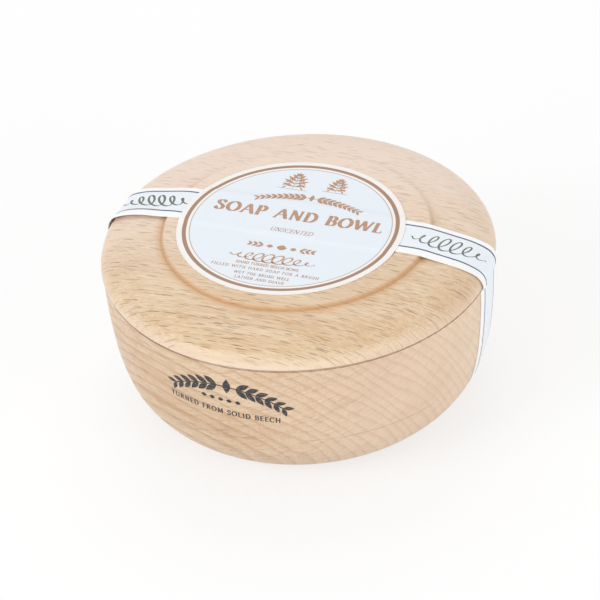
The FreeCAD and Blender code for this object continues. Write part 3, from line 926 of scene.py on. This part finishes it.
def beech_finish(name, turn, tilt, colours, bump, step_shade=0.0, turned_line=None, **amounts):
    material, g, shader = new_material(name)
    place = g.node("TexCoord").outputs
    block = g.vector("MULTIPLY", place["Object"], (1000, 1000, 1000))
    block = g.turned(g.turned(block, "Z", -turn), "X", tilt)
    grain = g.node("Group", node_tree=beech)
    g.fill(grain, {"Block": block, "Pale": colours[0], "Warm": colours[1], "Ray": colours[2]})
    g.fill(grain, {title.replace("_", " ").title(): value for title, value in amounts.items()})
    a, b = math.radians(turn), math.radians(tilt)
    along_grain = (math.cos(a), math.sin(a), 0)
    along_rings = (-math.sin(a) * math.cos(b), math.cos(a) * math.cos(b), -math.sin(b))
    for title, direction in (("End Grain", along_grain), ("Flank", along_rings)):
        facing = g.vector("DOT_PRODUCT", place["Normal"], direction, output="Value")
        g.fill(grain, {title: g.math("POWER", g.math("ABSOLUTE", facing), 2.0)})
    colour = grain.outputs["Color"]
    x, y, z = [g.times(part, 1000.0) for part in g.parts(place["Object"])]
    reach = g.length(g.vector("MULTIPLY", place["Object"], (1000, 1000, 0)))
    # Painted shade: a warm tint and a narrower brown band round the foot of the lid's step, full at
    # the front and gone towards the back.
    if step_shade > 0:
        shaded = g.times(g.step(y, 30.0, 2.0), step_shade)
        for share, tint, ends in ((1.0, "CF9A5E", (-0.1, 0.3, 0.9, 3.4)),
                                  (0.6, "8E5F34", (0.2, 0.8, 0.9, 1.5))):
            near = g.hill(reach, *[PLATEAU_R + end for end in ends])
            colour = g.mix(g.times(near, shaded, share), colour, tint)
    # Painted shade with some grime: a dark line on the faces at the joint, strong on the left and
    # fainter towards the right.
    joint = g.times(g.step(reach, RIM_R - 1.3, RIM_R - 0.6),
                    g.hill(z, SEAM - 0.34, SEAM - 0.16, SEAM + 0.26, SEAM + 0.42))
    crevice_shade_and_grime = g.times_plus(g.step(x, 44.0, 10.0), 0.5, 0.25)
    colour = g.mix(g.times(joint, crevice_shade_and_grime), colour, "5A3B22")
    if turned_line is not None:
        off = g.math("ABSOLUTE", g.math("SUBTRACT", z, turned_line))
        worn = g.noise(place["Object"], (60, 60, 0))
        trace = g.times(g.step(off, 0.22, 0.06), g.step(worn, 0.42, 0.6), 0.45)
        colour = g.mix(trace, colour, "9A6E48")
    g.fill(shader, {"Base Color": colour, "Roughness": grain.outputs["Roughness"],
                    "Coat Weight": 0.2, "Coat Roughness": 0.35})
    g.relief(shader, grain.outputs["Height"], bump, 0.00006)
    print(name, "turned", turn, "tilted", tilt)
    return material


lid_beech = beech_finish(
    "lid_beech", turn=-1.0, tilt=-18.0, colours=("E8D3B3", "C99F70", "6E401C"), bump=0.3,
    step_shade=0.55, ray_strength=1.0, ring_strength=0.16, ring_width=3.4, blush=0.85,
    flank_glow=0.75)
bowl_beech = beech_finish(
    "bowl_beech", turn=-24.0, tilt=60.0, colours=("E6D2B4", "C79D77", "886040"), bump=0.25,
    turned_line=19.5, ray_strength=0.65, ring_strength=0.85, ring_width=2.6)

# %% [markdown]
# ## Paper and ink
# Paper isn't one white: fibres and sizing leave faint clouds. The label is printed with a cool tint
# inside a copper ring, so its colour goes by the distance from its own centre.
# %% Paper group
paper_group, g, given, result = new_group(
    "paper_fibre", [("Place", "Vector", None), ("Sheet", "Color", None)],
    [("Color", "Color"), ("Height", "Float")])
cloud = g.noise(given["Place"], (150, 150, 150), 3.0)
tooth = g.noise(given["Place"], (2600, 3400, 2600), 3.0, 0.7)
g.put(result["Color"],
      g.mix(g.times(g.step(cloud, 0.35, 0.75), 0.10), given["Sheet"], (0.86, 0.83, 0.78)))
g.put(result["Height"], tooth)


def paper_finish(name, sheet_colour):
    material, g, shader = new_material(name)
    place = g.node("TexCoord").outputs["Object"]
    fibre = g.node("Group", node_tree=paper_group)
    g.fill(fibre, {"Place": place, "Sheet": sheet_colour})
    g.fill(shader, {"Roughness": 0.55, "Specular IOR Level": 0.4})
    g.relief(shader, fibre.outputs["Height"], 0.18, 0.00002)
    return material, g, shader, place, fibre.outputs["Color"]


def banded(g, value, low, high, soft):
    return g.hill(value, low - soft, low + soft, high - soft, high + soft)


# %% Label paper
label_paper, g, shader, place, colour = paper_finish("label_paper", "F6F3F0")
centred = g.vector("MULTIPLY_ADD", place, (1000, 1000, 0), (-LABEL_AT[0], -LABEL_AT[1], 0))
reach = g.length(centred)
colour = g.mix(g.step(reach, 29.6, 29.4), colour, "E9F0F7")
colour = g.mix(banded(g, reach, 30.45, 31.65, 0.06), colour, "A6836C")
colour = g.mix(g.times(banded(g, reach, 29.35, 29.62, 0.06), 0.8), colour, "B08C78")
g.put(shader.inputs["Base Color"], colour)

# %% Seal paper
seal_paper, g, shader, place, colour = paper_finish("seal_paper", "FBFBFC")
across = g.times(g.parts(place)[1], 1000.0)
colour = g.mix(banded(g, across, LINE_LOW, LINE_HIGH, 0.15), colour, "EDF3F8")
g.put(shader.inputs["Base Color"], colour)

# %% Inks


def ink_finish(name, colour, rough=0.5, patchy=0.0, under=None):
    """Ink that spreads a little unevenly. A patchy ink lets the wood under it show through."""
    material, g, shader = new_material(name)
    place = g.node("TexCoord").outputs["Object"]
    dark = hex_colour(colour)
    pale = tuple(min(1.0, v * 1.5 + 0.03) for v in dark)
    mixed = g.mix(g.step(g.noise(place, (2200, 2200, 2200), 3.0, 0.6), 0.3, 0.75), dark, pale)
    if patchy > 0:
        holes = g.noise(place, (900, 900, 2600), 4.0, 0.7)
        mixed = g.mix(g.times(g.step(holes, 0.50, 0.64), patchy), mixed, under)
    g.fill(shader, {"Base Color": mixed, "Roughness": rough})
    return material


copper_ink = ink_finish("copper_ink", "A67E62", 0.45)
line_ink = ink_finish("seal_line_ink", "33425F")
pen_ink = ink_finish("seal_pen_ink", "56605A")
stamp_ink = ink_finish("stamp_ink", "1E2027", 0.55, patchy=0.45, under="A58A74")

# %% [markdown]
# ## The soap's finish
# Hard soap is cream, a little waxy, and lets some light in under its skin.
# %% Soap
soap_finish, g, shader = new_material("cream_soap")
place = g.node("TexCoord").outputs["Object"]
marble = g.noise(place, (60, 60, 140), 4.0, 0.55)
specks = g.noise(place, (900, 900, 900))
g.fill(shader, {
    "Base Color": g.mix(g.step(marble, 0.3, 0.75), "F2ECDC", "E9DFC6"),
    "Roughness": g.times_plus(specks, 0.2, 0.35),
    "Subsurface Weight": 0.15, "Subsurface Radius": (0.004, 0.003, 0.002), "Subsurface Scale": 1.0})
g.relief(shader, marble, 0.2, 0.00008)

# %% [markdown]
# ## Every piece gets its finish and its body
# The lid carries the label, the strip and all their print. The bowl carries the soap, the seal's
# two ends and the stamp.
# %% Finish the pieces
finish_piece(bowl, "bowl", "bowl", bowl_beech)
finish_piece(lid, "lid", "lid", lid_beech)
finish_piece(soap, "bowl", "soap_puck", soap_finish)
finish_piece(label, "lid", "lid_label", label_paper)
finish_piece(band, "lid", "seal_band_lid", seal_paper)
for word, tail in tails.items():
    finish_piece(tail, "bowl", "seal_tail_" + word, seal_paper)
finish_piece(label_print, "lid", None, copper_ink)
finish_piece(stamp_print, "bowl", None, stamp_ink)
for piece, body in seal_ink:
    finish_piece(piece, body, None, pen_ink if "flourish" in piece.name else line_ink)

# %% [markdown]
# ## Floor, light and camera
# A pale floor under soft, even light shows the wood's own colour. The camera stands far off with a
# long lens, a little to the right of the label's reading direction, and is tipped slightly.
# %% Floor


def seen_directly(g):
    """1 for what the camera sees, straight or by way of a shiny or clear surface."""
    path = g.node("LightPath").outputs
    either = g.plus(path["Is Camera Ray"], path["Is Glossy Ray"])
    return g.plus(either, path["Is Transmission Ray"], clamp=True)


bpy.ops.mesh.primitive_plane_add(size=8.0, location=(0, 0, 0))
floor = bpy.context.object
floor.name = "floor"
floor_finish, g, shader = new_material("white_floor")
looked_at = seen_directly(g)
pale = g.mix(looked_at, (0.86, 0.86, 0.86), (1.0, 1.0, 1.0))
g.fill(shader, {"Base Color": pale, "Roughness": 0.9, "Specular IOR Level": 0.0})
glow = g.node("Emission", {"Color": (1, 1, 1, 1), "Strength": 1.0})
blend = g.node("MixShader", {0: g.times(looked_at, 0.72), 1: shader.outputs[0], 2: glow.outputs[0]})
g.fill(g.tree.nodes["Material Output"], {"Surface": blend.outputs[0]})
floor.data.materials.append(floor_finish)

# %% World and lamps
world = bpy.data.worlds.new("studio")
bpy.context.scene.world = world
world.use_nodes = True
g = Graph(world.node_tree)
sky = world.node_tree.nodes["Background"]
g.fill(sky, {"Color": (1, 1, 1, 1), "Strength": g.times_plus(seen_directly(g), 0.42, 0.58)})


def softbox(name, place, size, power):
    lamp = bpy.data.lights.new(name, "AREA")
    lamp.shape = "RECTANGLE"
    lamp.size, lamp.size_y = size
    lamp.energy = power
    holder = bpy.data.objects.new(name, lamp)
    bpy.context.scene.collection.objects.link(holder)
    holder.location = place
    holder.rotation_mode = "QUATERNION"
    holder.rotation_quaternion = (HEART - holder.location).to_track_quat("-Z", "Y")
    print(name, power, "W")


HEART = Vector((0, 0, 0.03))
softbox("key_softbox", (-0.85, -1.05, 0.75), (0.8, 0.8), 9.0)
softbox("top_softbox", (-0.3, 0.7, 1.3), (1.2, 1.0), 5.0)
softbox("right_fill", (1.2, -0.55, 0.35), (0.8, 0.7), 6.0)

# %% Camera
CAMERA_AT = Vector((0.36728, -0.90904, 0.73832))
AIM_AT = Vector((-0.00363, 0.00751, 0.02363))
ROLL, LENS = -4.25, 247.5
camera = bpy.data.objects.new("camera", bpy.data.cameras.new("camera"))
bpy.context.scene.collection.objects.link(camera)
camera.location = CAMERA_AT
camera.rotation_mode = "QUATERNION"
level = (AIM_AT - CAMERA_AT).to_track_quat("-Z", "Y").to_matrix()
tipped = Matrix.Rotation(math.radians(ROLL), 3, "Z")
camera.rotation_quaternion = (level @ tipped).to_quaternion()
camera.data.sensor_width = 36.0
camera.data.lens = LENS
camera.data.clip_start, camera.data.clip_end = 0.05, 20.0
bpy.context.scene.camera = camera
bpy.context.scene.view_settings.view_transform = "Standard"
